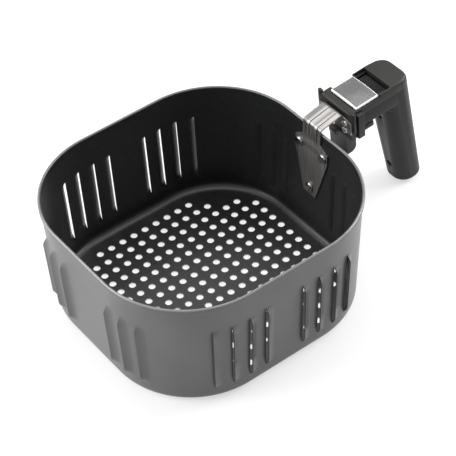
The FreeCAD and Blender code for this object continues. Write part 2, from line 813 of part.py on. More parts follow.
def front_block():
    """Moulded collar that takes the neck, with side grooves, wings, top bar and guide tongue."""
    body = new_body("collar")
    groove_end = "wing_depth + groove_width"
    half_plan = [
        ("0", "block_half"),
        (groove_end, "block_half"),
        (groove_end, "collar_half"),
        ("block_depth", "collar_half"),
    ]
    plan = half_plan + [(x, f"-{y}") for x, y in reversed(half_plan)]
    pad(body, polygon(body, "collar_plan", "XY_Plane", plan, "-block_drop"), "block_drop + block_rise")
    bar = box_outline(body, "bar_side", "XZ_Plane", "0", "bar_depth", "block_rise - 1", "bar_rise")
    pad(body, bar, "2 * wing_inner", both_ways=True)
    top = value("bar_rise")
    round_edges(
        body, "bar_edges", "bar_round", lambda edge: runs_along(edge, 1) and middle(edge).z > top - 0.1
    )
    for hand, sign in (("left", ""), ("right", "-")):
        wing = box_outline(
            body, f"{hand}_wing", "XY_Plane", "0", "wing_depth", f"{sign}wing_inner", f"{sign}wing_half",
            "-wing_drop"
        )
        pad(body, wing, "wing_drop + wing_rise")
    tongue = box_outline(
        body, "tongue_side", "XZ_Plane", "tongue_front", "tongue_back", "-tongue_drop", "1 - block_drop"
    )
    pad(body, tongue, "2 * tongue_half", both_ways=True)
    back, low = value("tongue_back"), -value("tongue_drop")
    round_edges(
        body, "tongue_heel", "tongue_round",
        lambda edge: runs_along(edge, 1) and abs(middle(edge).x - back) < 0.01 and middle(edge).z < low + 0.01
    )
    round_edges(
        body, "tongue_toe", "tongue_round / 3",
        lambda edge: runs_along(edge, 1) and middle(edge).x < 1 and middle(edge).z < low + 0.01
    )
    outer = value("wing_inner")
    round_edges(
        body, "side_corners", "block_edge",
        lambda edge: runs_along(edge, 2) and abs(middle(edge).y) > outer + 1
    )
    socket = box_outline(
        body, "tenon_socket", "YZ_Plane", "-tenon_half - fit_gap", "tenon_half + fit_gap",
        "-tenon_drop - fit_gap", "split_rise + fit_gap", "front_wall"
    )
    pocket(body, socket, "block_depth - front_wall", backwards=True)
    seat = box_outline(
        body, "cover_seat", "XY_Plane", "channel_front - fit_gap", "block_depth + 1",
        "-neck_half - fit_gap", "neck_half + fit_gap", "wing_rise"
    )
    pocket(body, seat, "wing_rise - split_rise")
    window = box_outline(
        body, "latch_window", "YZ_Plane", "-lever_half - 2 * slide_gap", "lever_half + 2 * slide_gap",
        "-hook_high - hook_thick - 2 * slide_gap", "-plate_drop"
    )
    pocket(body, window, "lever_knee + 4", backwards=True)
    holes = circles(body, "plate_screw_holes", "YZ_Plane", plate_screw_names(), "screw_radius + bore_gap")
    pocket(body, holes, "front_wall + 1", backwards=True)
    finish(body, "front_block", HANDLE)


# Handle

def crown_outline(body):
    """Everything above a shallow arch across the neck, with round shoulders at both sides."""
    sketch = sketch_on(body, "crown_section", "YZ_Plane", "0")
    side, top = value("neck_half + 3"), value("crown_rise + 3")
    half, radius, small = value("neck_half"), value("crown_radius"), value("shoulder_round")
    centre = Vector(0, value("crown_rise - crown_radius"), 0)
    reach = math.asin((half - small) / (radius - small))
    shoulder = Vector(half - small, centre.y + (radius - small) * math.cos(reach), 0)
    axis = Vector(0, 0, 1)
    arch = Part.Circle(centre, axis, radius)
    right = Part.Circle(shoulder, axis, small)
    left = Part.Circle(Vector(-shoulder.x, shoulder.y, 0), axis, small)
    foot = shoulder.y
    places = [(-half, foot), (-side, foot), (-side, top), (side, top), (side, foot), (half, foot)]
    corners = [Vector(x, y, 0) for x, y in places]
    sketch.addGeometry(Part.ArcOfCircle(arch, math.pi / 2 - reach, math.pi / 2 + reach))
    sketch.addGeometry(Part.ArcOfCircle(left, math.pi / 2 + reach, math.pi))
    for start, end in zip(corners, corners[1:]):
        sketch.addGeometry(Part.LineSegment(start, end))
    sketch.addGeometry(Part.ArcOfCircle(right, 0, math.pi / 2 - reach))
    for first, second in ((7, 0), (0, 1)):
        sketch.addConstraint(Sketcher.Constraint("Tangent", first, 2, second, 1))
    for first in range(1, 7):
        sketch.addConstraint(Sketcher.Constraint("Coincident", first, 2, first + 1, 1))
    for arc, end in ((1, 2), (7, 1)):
        sketch.addConstraint(Sketcher.Constraint("Horizontal", arc, 3, arc, end))
    for line in range(2, 7):
        sketch.addConstraint(Sketcher.Constraint("Vertical" if line % 2 else "Horizontal", line))
    for name, arc, size in (("arch", 0, "crown_radius"), ("left_arc", 1, "shoulder_round"),
                            ("right_arc", 7, "shoulder_round")):
        sketch.renameConstraint(sketch.addConstraint(Sketcher.Constraint("Radius", arc, value(size))), name)
        bind(sketch, **{"Constraints__" + name: size})
    pin_down(sketch, "DistanceX", "centre_across", 0, 3, "0")
    pin_down(sketch, "DistanceY", "centre_up", 0, 3, "crown_rise - crown_radius")
    pin_down(sketch, "DistanceX", "left_foot", 1, 2, "-neck_half")
    pin_down(sketch, "DistanceX", "right_foot", 7, 1, "neck_half")
    pin_down(sketch, "DistanceX", "left", 3, 1, "-neck_half - 3")
    pin_down(sketch, "DistanceX", "right", 5, 1, "neck_half + 3")
    pin_down(sketch, "DistanceY", "high", 4, 1, "crown_rise + 3")
    return sketch


def crown_back_outline(body):
    """What lies outside the round from the crown's top to the grip's back, seen from the side."""
    sketch = sketch_on(body, "crown_back", "XZ_Plane", "0")
    slope = "(grip_lean / (crown_rise + grip_drop))"
    slant = f"sqrt(1 + {slope} ^ 2)"
    start = f"grip_front + grip_depth - crown_back_round * ({slant} - {slope})"
    low = f"crown_rise - crown_back_round + crown_back_round * {slope} / {slant}"
    high, far = "crown_rise + 3", "grip_front + grip_depth + 3"
    radius = value("crown_back_round")
    centre = Vector(value(start), value("crown_rise - crown_back_round"), 0)
    circle = Part.Circle(centre, Vector(0, 0, 1), radius)
    sketch.addGeometry(Part.ArcOfCircle(circle, math.atan(value(slope)), math.pi / 2))
    crest = Vector(centre.x, value("crown_rise"), 0)
    foot = Vector(centre.x + radius * math.cos(math.atan(value(slope))), value(low), 0)
    corners = [crest, Vector(crest.x, value(high), 0), Vector(value(far), value(high), 0),
               Vector(value(far), foot.y, 0), foot]
    for begin, end in zip(corners, corners[1:]):
        sketch.addGeometry(Part.LineSegment(begin, end))
    for first in range(5):
        sketch.addConstraint(Sketcher.Constraint("Coincident", first, 2, (first + 1) % 5, 1))
    for line, kind in ((1, "Vertical"), (2, "Horizontal"), (3, "Vertical"), (4, "Horizontal")):
        sketch.addConstraint(Sketcher.Constraint(kind, line))
    sketch.renameConstraint(sketch.addConstraint(Sketcher.Constraint("Radius", 0, radius)), "round")
    bind(sketch, Constraints__round="crown_back_round")
    pin_down(sketch, "DistanceX", "centre_along", 0, 3, start)
    pin_down(sketch, "DistanceY", "centre_up", 0, 3, "crown_rise - crown_back_round")
    pin_down(sketch, "DistanceX", "crest", 1, 2, start)
    pin_down(sketch, "DistanceY", "high", 2, 1, high)
    pin_down(sketch, "DistanceX", "far", 3, 1, far)
    pin_down(sketch, "DistanceY", "low", 4, 1, low)
    return sketch


def grip_half_at(height):
    """Half width of the grip at a height in the handle's frame, as an expression."""
    return f"(neck_half - (neck_half - grip_end_half) * (crown_rise - ({height})) / (crown_rise + grip_drop))"


def grip_loft(body, name, high, low, inset, high_round, low_round):
    """Tapered, leaning grip between two heights, inside its outer faces by an inset."""
    sketches = []
    for level, radius in ((high, high_round), (low, low_round)):
        front, half = grip_front_at(level), grip_half_at(level)
        sketches.append(rounded_outline(
            body, f"{name}_{len(sketches)}", "XY_Plane",
            f"{front} + {inset}", f"{front} + grip_depth - {inset}", f"{inset} - {half}", f"{half} - {inset}",
            radius, level
        ))
    feature = body.newObject("PartDesign::AdditiveLoft", name)
    feature.Profile = sketches[0]
    feature.Sections = [sketches[1]]
    feature.Ruled = True
    doc.recompute()
    return feature


def neck_section(body, name, low, shift):
    """Section across the neck, from a height to the crown, a trace inside the grip's leaning sides."""
    narrow = f"({grip_half_at(low)} - neck_step)"
    corners = [(f"-{narrow}", low), (narrow, low), ("neck_half - neck_step", "crown_rise"),
               ("neck_step - neck_half", "crown_rise")]
    return polygon(body, name, "YZ_Plane", corners, shift)


def handle_form():
    """Outer form of the handle: tenon, neck with a crowned top, and the leaning grip."""
    body = new_body("handle_form")
    neck = neck_section(body, "neck_section", "-neck_drop", "block_depth")
    pad(body, neck, "grip_front + grip_depth / 2 - block_depth")
    under = -value("neck_drop")
    round_edges(
        body, "neck_edges", "neck_round",
        lambda edge: runs_along(edge, 0) and abs(middle(edge).z - under) < 0.01
    )
    grip_loft(body, "grip", "crown_rise", "-grip_drop", "0", "grip_top_round", "grip_end_round")
    web_low, web_high = value(grip_front_at("-neck_drop")) - 1, value("grip_front + grip_depth / 2")
    round_edges(
        body, "web", "web_round",
        lambda edge: abs(middle(edge).z - under) < 0.01 and abs(middle(edge).y) < 0.01
        and web_low < middle(edge).x < web_high
    )
    end = -value("grip_drop")
    round_edges(body, "grip_end", "grip_end_edge", lambda edge: abs(middle(edge).z - end) < 0.01)
    face = neck_section(body, "cover_front_section", "split_rise", "channel_front")
    pad(body, face, "block_depth + 1 - channel_front")
    pocket(body, crown_outline(body), backwards=True)
    pocket(body, crown_back_outline(body), both_ways=True)
    tenon = box_outline(
        body, "tenon_plan", "XY_Plane", "front_wall", "block_depth + 1",
        "-tenon_half", "tenon_half", "-tenon_drop"
    )
    pad(body, tenon, "tenon_drop + split_rise")
    return body


BUTTON_BACK = "channel_back - slide_gap"
BUTTON_FRONT = "channel_back - slide_gap - button_length"
STEM_FRONT = f"{BUTTON_FRONT} + stem_inset"
STEM_BACK = f"{STEM_FRONT} + stem_depth"
ROOM_FLOOR = "window_low + stem_web + button_travel + slide_gap"
HATCH_COVER_FRONT = "block_depth + slide_gap"
HATCH_SCREW = f"{HATCH_COVER_FRONT} + hatch_cover_length / 2"
HATCH_FRONT = f"{HATCH_SCREW} - hatch_length / 2"
HATCH_BACK = f"{HATCH_SCREW} + hatch_length / 2"
SLOT_BACK = "guard_front + guard_leg + guard_travel + slide_gap"
FAR = "100"


def grip_pieces():
    """Hollow handle, split into the shell, the top cover and the front cover of the grip."""
    form = handle_form()
    hollow = new_body("grip_hollow")
    low = "shell_wall - grip_drop"
    grip_loft(hollow, "hollow", "hollow_rise", low, "shell_wall", "grip_top_round - shell_wall / 2",
              "grip_end_round - shell_wall")
    emptied = cut("hollow_handle", form, hollow)
    posts = []
    for drop in ("post_high", "post_low"):
        front = grip_front_at(f"-{drop}")
        foot = (f"{front} + shell_wall / 2", "0", f"-{drop}")
        posts.append(rod(drop + "_rod", "post_radius", "grip_depth - shell_wall", foot, (1, 0, 0)))
    whole = fuse("handle_with_posts", [emptied] + posts)
    piece = new_body("cover_slice")
    corners = []
    for drop in ("cover_high", "cover_low"):
        corners.append((grip_front_at(f"-{drop}") + " + cover_depth", f"-{drop}"))
    for drop in ("cover_low", "cover_high"):
        corners.append((grip_front_at(f"-{drop}") + " - cover_depth", f"-{drop}"))
    pad(piece, polygon(piece, "slice_side", "XZ_Plane", corners), "4 * neck_half", both_ways=True)

    bores = []
    for drop in ("post_high", "post_low"):
        front = grip_front_at(f"-{drop}")
        bores.append(rod(drop + "_bore", "screw_radius + bore_gap", "shell_wall + screw_length",
                         (front, "0", f"-{drop}"), (1, 0, 0)))
        bores.append(rod(drop + "_head", "screw_head + fit_gap", "2 * shell_wall",
                         (f"{front} - shell_wall", "0", f"-{drop}"), (1, 0, 0)))
    drilled = cut("drilled_handle", whole, fuse("post_bores", bores))
    finish(common("grip_front_slice", drilled, piece), "grip_cover", HANDLE)
    bodywork = cut("handle_without_cover", drilled, piece)

    upper = block("upper_room", ("0", f"-{FAR}", "split_rise"), (FAR, FAR, FAR))
    top_cover(common("upper_handle", bodywork, upper))
    handle_shell(cut("lower_handle", bodywork, upper))


def top_screw_bores(piece):
    bores = []
    for hand, side in (("left", "cover_screw_side"), ("right", "-cover_screw_side")):
        foot = ("cover_screw_reach", side, "hollow_rise - 0.5")
        name = f"{piece}_{hand}_bore"
        bores.append(rod(name, "screw_radius + bore_gap", "screw_length + 1", foot, (0, 0, 1)))
    return bores


def top_cover(blank):
    """Crowned cover with the channel for button and guard."""
    tools = [
        block("channel", ("channel_front - 1", "-channel_half", "channel_floor"),
              ("channel_back", "channel_half", FAR)),
        block("deck", ("channel_front - 1", f"-{FAR}", "deck_rise"), ("channel_back", FAR, FAR)),
        block("button_window", (f"{BUTTON_FRONT} - slide_gap", "-button_half - slide_gap", "0"),
              ("channel_back", "button_half + slide_gap", "channel_floor + 1")),
        block("guard_slots", ("channel_front - 1", "-channel_half - slot_depth", "slot_low"),
              (SLOT_BACK, "channel_half + slot_depth", "slot_high")),
    ]
    tool = fuse("cover_tools", tools + top_screw_bores("cover"))
    finish(cut("channelled_cover", blank, tool), "top_cover", HANDLE)


def handle_shell(blank):
    """Neck and grip moulding with the room for the latch."""
    roof = "split_rise + 1"
    tools = [
        block("lever_slot", ("front_wall - 1", "-lever_half - 2 * slide_gap", f"-{FAR}"),
              ("block_depth", "lever_half + 2 * slide_gap", roof)),
        block("room_front", ("block_depth - 1", "-room_front_half", f"-({ROOM_FLOOR})"),
              ("room_step", "room_front_half", roof)),
        block("room_rear", ("room_step - 1", "-room_half", f"-({ROOM_FLOOR})"),
              ("room_back", "room_half", roof)),
        block("hatch", (HATCH_FRONT, "-hatch_half", "-neck_drop - 1"),
              (HATCH_BACK, "hatch_half", f"1 - ({ROOM_FLOOR})")),
        rod("pin_seat", "pin_radius + bore_gap / 2", "2 * pin_half",
            ("pivot_reach", "-pin_half", "-pivot_drop"), (0, 1, 0)),
    ]
    for index, (y, z) in enumerate(plate_screw_names()):
        foot = ("0", y, z)
        tools.append(rod(f"tenon_bore_{index}", "screw_radius + bore_gap", "screw_length", foot, (1, 0, 0)))
    for name, side in (("left", "hatch_screw_side"), ("right", "-hatch_screw_side")):
        tools.append(rod(name + "_hatch_bore", "screw_radius + bore_gap", "screw_length + 1",
                         (HATCH_SCREW, side, "screw_head_height - hatch_cover_drop"), (0, 0, 1)))
    tool = fuse("shell_tools", tools + top_screw_bores("shell"))
    finish(cut("hollowed_shell", blank, tool), "handle_shell", HANDLE)


def hatch_cover():
    """Tray screwed under the neck, with a plug that fills the hatch."""
    body = new_body("hatch_tray")
    plan = box_outline(
        body, "tray_plan", "XY_Plane", HATCH_COVER_FRONT, f"{HATCH_COVER_FRONT} + hatch_cover_length",
        "-hatch_cover_half", "hatch_cover_half", "-hatch_cover_drop"
    )
    pad(body, plan, "hatch_cover_drop - neck_drop")
    low = -value("hatch_cover_drop")
    round_edges(body, "tray_edges", "hatch_cover_round", lambda edge: abs(middle(edge).z - low) < 0.01)
    plug = box_outline(
        body, "plug_plan", "XY_Plane", f"{HATCH_FRONT} + fit_gap", f"{HATCH_BACK} - fit_gap",
        "fit_gap - hatch_half", "hatch_half - fit_gap", "-neck_drop - 1"
    )
    pad(body, plug, f"neck_drop + 1 - ({ROOM_FLOOR})")
    spots = [(HATCH_SCREW, "hatch_screw_side"), (HATCH_SCREW, "-hatch_screw_side")]
    below = "-hatch_cover_drop - 1"
    shanks = circles(body, "tray_bores", "XY_Plane", spots, "screw_radius + bore_gap", below)
    pocket(body, shanks, "hatch_cover_drop", backwards=True)
    heads = circles(body, "tray_heads", "XY_Plane", spots, "screw_head + fit_gap", below)
    pocket(body, heads, "1 + screw_head_height", backwards=True)
    finish(body, "hatch_cover", HANDLE)


# Latch mechanism

def release_button():
    """Ribbed push button with a retaining lip, and a stem whose window holds the lever's nose."""
    body = new_body("button_cap")
    plan = box_outline(
        body, "button_plan", "XY_Plane", BUTTON_FRONT, BUTTON_BACK,
        "-button_half", "button_half", "button_base"
    )
    pad(body, plan, "button_top - button_base")
    top = value("button_top")
    round_edges(body, "button_edges", "button_round", lambda edge: middle(edge).z > top - 0.01)
    lip = box_outline(
        body, "lip_plan", "XY_Plane", f"{BUTTON_FRONT} - button_lip", f"{BUTTON_FRONT} + 1",
        "-button_half", "button_half", "button_base"
    )
    pad(body, lip, "split_rise - slide_gap - button_base")
    stem = box_outline(
        body, "stem_plan", "XY_Plane", STEM_FRONT, STEM_BACK,
        "-stem_half", "stem_half", "-window_low - stem_web"
    )
    pad(body, stem, "window_low + stem_web + button_base + 1")
    window = box_outline(
        body, "stem_window", "YZ_Plane", "-lever_half - slide_gap", "lever_half + slide_gap",
        "-window_low", "window_high", STEM_BACK + " + 0.5"
    )
    pocket(body, window, "stem_depth + 1")
    count = int(value("(button_length - 2 * button_round) / rib_pitch"))
    for index in range(count):
        start = f"{BUTTON_FRONT} + (button_length - {count} * rib_pitch) / 2 + ({index} + 0.25) * rib_pitch"
        groove = box_outline(
            body, f"button_groove_{index}", "XZ_Plane", start, f"{start} + rib_pitch / 2",
            "button_top - rib_depth", "button_top + 1"
        )
        pocket(body, groove, "2 * button_half - 4 * button_round", both_ways=True)
    finish(body, "release_button", HANDLE)


def latch_lever():
    """Two-armed lever: the nose sits in the button's stem, the hook reaches out below the strap."""
    body = new_body("lever")
    upper = "lever_thick / 2 - pivot_drop"
    lower = "-lever_thick / 2 - pivot_drop"
    nose = STEM_BACK + " + slide_gap"
    hook_low = "-hook_high - hook_thick"
    side = polygon(body, "lever_side", "XZ_Plane", [
        (nose, upper),
        ("pivot_reach - hub_radius", upper),
        ("lever_knee", "-hook_high"),
        ("-hook_reach", "-hook_high"),
        ("-hook_reach", "-hook_drop"),
        ("hook_width / 2 - hook_reach", "-hook_drop"),
        ("hook_width - hook_reach", hook_low),
        ("lever_knee", hook_low),
        ("pivot_reach", "-hub_radius - pivot_drop"),
        ("pivot_reach + hub_radius", lower),
        (nose, lower),
    ])
    pad(body, side, "2 * lever_half", both_ways=True)
    pivot = [("pivot_reach", "-pivot_drop")]
    pad(body, circles(body, "hub_side", "XZ_Plane", pivot, "hub_radius"), "2 * hub_half", both_ways=True)
    bore = circles(body, "pin_bore", "XZ_Plane", pivot, "pin_radius + bore_gap")
    pocket(body, bore, "4 * hub_half", both_ways=True)
    finish(body, "latch_lever", HANDLE)


def latch_pin():
    body = new_body("pin")
    side = circles(body, "pin_side", "XZ_Plane", [("pivot_reach", "-pivot_drop")], "pin_radius")
    pad(body, side, "2 * pin_half", both_ways=True)
    finish(body, "latch_pin", HANDLE)


def helix_arcs(radius, height, turns):
    """Edges of a helix about Z, two tangent arcs to each quarter turn."""
    climb = height / turns
    quarter = math.pi / 2

    def point(angle):
        return Vector(radius * math.cos(angle), radius * math.sin(angle), climb * angle / (2 * math.pi))

    def heading(angle):
        return Vector(-radius * math.sin(angle), radius * math.cos(angle), climb / (2 * math.pi)).normalize()

    def arc(start, end, along):
        chord = end - start
        span = chord.Length
        unit = chord / span
        bulge = (along - unit * along.dot(unit)).normalize()
        half = math.acos(max(-1.0, min(1.0, along.dot(unit))))
        return Part.Arc(start, start + chord / 2 + bulge * (span / 2 * math.tan(half / 2)), end).toShape()

    edges = []
    for index in range(int(4 * turns)):
        start, end = point(index * quarter), point((index + 1) * quarter)
        first, last = heading(index * quarter), heading((index + 1) * quarter)
        gap, both = end - start, first + last
        spread = 2 * (1 - first.dot(last))
        push = (math.sqrt(gap.dot(both) ** 2 + spread * gap.dot(gap)) - gap.dot(both)) / spread
        joint = (start + first * push + end - last * push) / 2
        edges.append(arc(start, joint, first))
        edges.append(arc(joint, end, (end - last * push - joint).normalize()))
    return edges


def button_springs():
    """Two compression springs beside the stem, between the neck's floor and the button."""
    wire = value("spring_wire") / 2
    low, high = value(f"bore_gap - ({ROOM_FLOOR})") + wire, value("button_base - bore_gap") - wire
    edges = helix_arcs(value("spring_radius"), high - low, value("spring_turns"))
    path = Part.Wire(edges)
    start = edges[0].Vertexes[0].Point
    along = edges[0].tangentAt(edges[0].FirstParameter)
    section = Part.Wire(Part.makeCircle(wire, start, along))
    coil = path.makePipeShell([section], True, False)
    print("spring gap", round((high - low) / value("spring_turns") - 2 * wire, 2))
    middle_x = value(STEM_FRONT + " + stem_depth / 2")
    for hand, side in (("left", 1), ("right", -1)):
        spring = solid_feature(f"{hand}_coil", coil.copy())
        spring.Placement = Placement(Vector(middle_x, side * value("spring_side"), low), Rotation())
        finish(spring, f"button_spring_{hand}", HANDLE)


def button_guard():
    """Clear bowed lid that slides over the button on two legs in the channel's slots."""
    body = new_body("guard")
    low = "deck_rise + slide_gap"

    def arch(half, top):
        right = [(half, low), (half, f"{top} - guard_bow"), (f"{half} / 2", f"{top} - guard_bow / 4")]
        left = [(f"-{x}", y) for x, y in reversed(right)]
        return right + [("0", top)] + left

    inner_half, inner_top = "(guard_half - guard_wall)", "guard_top - guard_wall"
    lid = polygon(body, "lid_section", "YZ_Plane", arch("guard_half", "guard_top"), "guard_front")
    pad(body, lid, "guard_length")
    brim, side = value("guard_top - guard_bow") - 0.1, value("guard_half") - 0.1
    round_edges(
        body, "lid_edges", "guard_round",
        lambda edge: middle(edge).z > brim and (not runs_along(edge, 0) or abs(middle(edge).y) > side)
    )
    inside = polygon(
        body, "lid_inside", "YZ_Plane", arch(inner_half, inner_top), "guard_front + guard_wall"
    )
    pocket(body, inside, "guard_length - 2 * guard_wall", backwards=True)
    outer_leg = "channel_half - slide_gap"
    for hand, sign in (("left", ""), ("right", "-")):
        leg = box_outline(
            body, f"{hand}_leg", "YZ_Plane", f"{sign}({outer_leg} - guard_wall)", f"{sign}({outer_leg})",
            "slot_low + slide_gap", "guard_top - guard_bow - guard_wall / 2", "guard_front"
        )
        pad(body, leg, "guard_leg")
        foot = box_outline(
            body, f"{hand}_foot", "YZ_Plane", f"{sign}({outer_leg} - guard_wall)",
            f"{sign}(channel_half + slot_depth - slide_gap)", "slot_low + slide_gap", "slot_high - slide_gap",
            "guard_front"
        )
        pad(body, foot, "guard_leg")
    finish(body, "button_guard", HANDLE)


def build():
    basket()
    handle_strap()
    wall_rivets()
    screws()
    front_block()
    grip_pieces()
    hatch_cover()
    release_button()
    latch_lever()
    latch_pin()
    button_springs()
    button_guard()


build()
faulty = [thing.Name for thing in doc.Objects if {"Invalid", "Error"} & set(thing.State)]
if faulty:
    raise RuntimeError(f"features that failed: {faulty}")
for label, thing in SUBPARTS.items():
    if thing.Shape.isNull() or not thing.Shape.isValid() or not thing.Shape.Solids:
        raise RuntimeError(f"{label} is not a valid solid")
os.makedirs("parts", exist_ok=True)
for label, thing in SUBPARTS.items():
    thing.Shape.exportStep(f"parts/{label}.step")
    box = thing.Shape.BoundBox
    print(f"{label}: {len(thing.Shape.Solids)} solids, {thing.Shape.Volume:.0f} mm3, {box.XLength:.1f} x "
          f"{box.YLength:.1f} x {box.ZLength:.1f}")
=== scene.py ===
# %% [markdown]
# # Fry basket with pistol-grip handle
# The basket is one deep-drawn sheet with a non-stick coat. A brushed strap is riveted to its wall and
# carries a moulded handle with a release button and a clear guard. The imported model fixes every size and
# place in metres. The cells below give the same pieces their finished surfaces.

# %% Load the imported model
from math import cos, copysign, hypot, pi, radians, sin, sqrt, tan

import bmesh
import bpy
from mathutils import Matrix, Vector


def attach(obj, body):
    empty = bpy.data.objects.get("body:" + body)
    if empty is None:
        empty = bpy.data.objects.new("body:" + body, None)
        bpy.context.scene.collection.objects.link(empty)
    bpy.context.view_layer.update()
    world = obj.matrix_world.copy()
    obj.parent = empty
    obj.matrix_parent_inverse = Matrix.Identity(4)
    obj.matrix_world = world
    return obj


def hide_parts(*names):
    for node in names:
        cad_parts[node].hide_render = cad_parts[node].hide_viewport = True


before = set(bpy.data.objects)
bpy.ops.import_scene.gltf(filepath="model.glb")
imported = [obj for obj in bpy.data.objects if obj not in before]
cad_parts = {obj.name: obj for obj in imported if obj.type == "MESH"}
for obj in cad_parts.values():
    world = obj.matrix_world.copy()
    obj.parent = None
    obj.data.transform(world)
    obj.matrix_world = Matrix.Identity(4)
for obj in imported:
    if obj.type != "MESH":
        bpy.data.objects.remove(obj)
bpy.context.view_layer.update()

# %% [markdown]
# ## Tools for the materials
# Paint and plastic are described by the colour that the eye reads, so colours are written as sRGB codes and
# turned into linear light here. A material could be wired by hand in the node editor. In a script a short
# chain of nodes is easier to repeat, so one function adds a node and sets or links its sockets.

# %% Colour and node helpers
def linear(code):
    parts = [int(code[n:n + 2], 16) / 255 for n in (1, 3, 5)]
    return [p / 12.92 if p <= 0.04045 else ((p + 0.055) / 1.055) ** 2.4 for p in parts] + [1.0]


def add(tree, kind, sockets, **options):
    node = tree.nodes.new(kind)
    for name, value in options.items():
        setattr(node, name, value)
    for name, value in sockets.items():
        if isinstance(value, bpy.types.NodeSocket):
            tree.links.new(value, node.inputs[name])
        else:
            node.inputs[name].default_value = value
    return node


def new_material(name):
    material = bpy.data.materials.new(name)
    material.use_nodes = True
    material.node_tree.nodes.clear()
    return material, material.node_tree


# %% [markdown]
# ## One recipe for all finishes
# Real coats, metals and mouldings are never quite even: colour and gloss change a little from spot to spot,
# and many surfaces have tiny dents. Photographs of them could be laid on, but noise whose size is given in
# millimetres fits every piece without a seam. The recipe draws one fine noise for gloss and dents. The
# colour follows the same noise, or another one where it drifts in clouds or flecks of its own.

# %% Recipe for a finish
# noise seldom leaves its middle band, so that band is stretched over the range that a finish needs
middle_band = {"From Min": 0.3, "From Max": 0.7}
# a Mix node has several sockets with one name, so its two colours and its result go by number
first_colour, second_colour, mixed_colour = 6, 7, 2


def finish(name, colours, roughness, texture_mm, shader, detail=2.0, cloud_mm=0.0, contrast=False,
           dents=None, stretch=None, grit=0.55):
    material, tree = new_material(name)
    place = add(tree, "ShaderNodeTexCoord", {}).outputs["Object"]
    if stretch:
        place = add(tree, "ShaderNodeMapping", {"Vector": place, "Scale": stretch}).outputs["Vector"]
    texture = add(tree, "ShaderNodeTexNoise", {
        "Vector": place, "Scale": 1000 / texture_mm, "Detail": detail, "Roughness": grit}).outputs["Fac"]
    cloud = texture
    if cloud_mm:
        cloud = add(tree, "ShaderNodeTexNoise", {
            "Vector": place, "Scale": 1000 / cloud_mm, "Detail": 1.0, "Roughness": grit}).outputs["Fac"]
    if contrast:
        cloud = add(tree, "ShaderNodeMapRange", {
            "Value": cloud, **middle_band, "To Min": 0.0, "To Max": 1.0}).outputs["Result"]
    dark, light = colours
    colour = add(tree, "ShaderNodeMix", {
        "Factor": cloud, first_colour: linear(dark), second_colour: linear(light)}, data_type="RGBA")
    gloss = add(tree, "ShaderNodeMapRange", {
        "Value": texture, **middle_band, "To Min": roughness[0], "To Max": roughness[1]})
    sockets = {"Base Color": colour.outputs[mixed_colour], "Roughness": gloss.outputs["Result"], **shader}
    if dents:
        bump = add(tree, "ShaderNodeBump", {"Height": texture, "Strength": dents[0], "Distance": dents[1]})
        sockets["Normal"] = bump.outputs["Normal"]
    principled = add(tree, "ShaderNodeBsdfPrincipled", sockets)
    add(tree, "ShaderNodeOutputMaterial", {"Surface": principled.outputs["BSDF"]})
    print("finish", name)
    return material


# %% [markdown]
# ## Non-stick coat
# The coat is sprayed on and baked. It dries with a very fine orange peel, which breaks up reflections. The
# outside is a satin grey, and the inside is painted far darker, as painted shade inside the tub; its coat is
# filled so that food doesn't stick. The peel could be modelled as real bumps, but it is far too fine for
# that, so the recipe's fine noise dents the surface. The spray's clouds and the filler's flecks are the
# noise for the colour.

# %% Coat materials
# real peel is about 0.4 mm; it is drawn at 1.6 mm so that it shows at this picture's scale
peel_mm = 1.6
peel_dents = (0.05, 0.0003)
satin = {"IOR": 1.5, "Specular IOR Level": 0.5}
# satin grey with faint 40 mm clouds from uneven spraying: broad, soft reflections
coat_outside = finish("grey_baked_coat", ("#505050", "#575757"), (0.3, 0.38), peel_mm, satin,
                      cloud_mm=40.0, contrast=True, dents=peel_dents)
# near black with fine flecks of filler: painted shade for the inside of the tub, which hardly mirrors
coat_inside_painted_shade = finish("nonstick_coat_painted_shade", ("#0a0a0a", "#1d1e1e"), (0.34, 0.42), peel_mm,
                     {"IOR": 1.5, "Specular IOR Level": 0.4}, cloud_mm=1.5, contrast=True, dents=peel_dents)
# painted highlight: the outward half of the rim's fold is painted pale, so the rim reads as a pale line
fold_painted_highlight = finish("fold_coat_painted_highlight", ("#707070", "#7c7c7c"), (0.2, 0.28), peel_mm, satin,
                   cloud_mm=12.0, contrast=True, dents=peel_dents)

# %% [markdown]
# ## Metals
# The strap is stainless strip, brushed along its length, so it smears reflections across the lines. Rivets,
# screws, springs and the pin are small, and on them only the gloss of the metal shows. Anisotropy could
# draw the brushing, but real lines as a stretched noise keep their look from every side.

# %% Metal materials
bare = {"Metallic": 1.0}
# drawn wire and turned screws: plain grey with a soft highlight
plain_steel = finish("drawn_steel", ("#a9a9ab", "#c0c0c2"), (0.28, 0.4), 1.5, bare, detail=3.0)
# lines 0.6 mm apart across the strip and fifty times as long: streaks of light that run over the bends
brushed_strip = finish("brushed_stainless_strip", ("#6a6968", "#999795"), (0.4, 0.52), 0.6, bare, detail=3.0,
                       contrast=True, dents=(0.15, 0.0001), stretch=(0.02, 1.0, 0.02), grit=0.6)
# a rivet's head is pressed smooth, so it holds a small sharp highlight
rivet_metal = finish("headed_aluminium", ("#7d7d7d", "#9a9a9a"), (0.16, 0.26), 1.2, bare, detail=3.0)
# painted light: the coated hole walls get a pale metal finish, lighter than the coat, that stands for light
# below the floor
hole_wall_painted_light = finish("hole_wall_metal_painted_light", ("#8a8a8a", "#b0b0b0"), (0.4, 0.5), 1.0, bare, detail=3.0)
# oxide turns the screws as dark as the moulding that they sit in
black_steel = finish("black_oxide_steel", ("#1c1c1d", "#262627"), (0.4, 0.5), 1.5, bare, detail=3.0)

# %% [markdown]
# ## Plastics
# The handle is moulded in dark plastic from a spark-eroded mould, which leaves a fine matt texture. The
# button is a little smoother, and the lever is a slippery plastic with hardly any texture. The guard is
# clear acrylic. Full transmission could draw it, but its plate looks grey in the photograph, so only part
# of the light goes through, and the edges get a finish of their own.

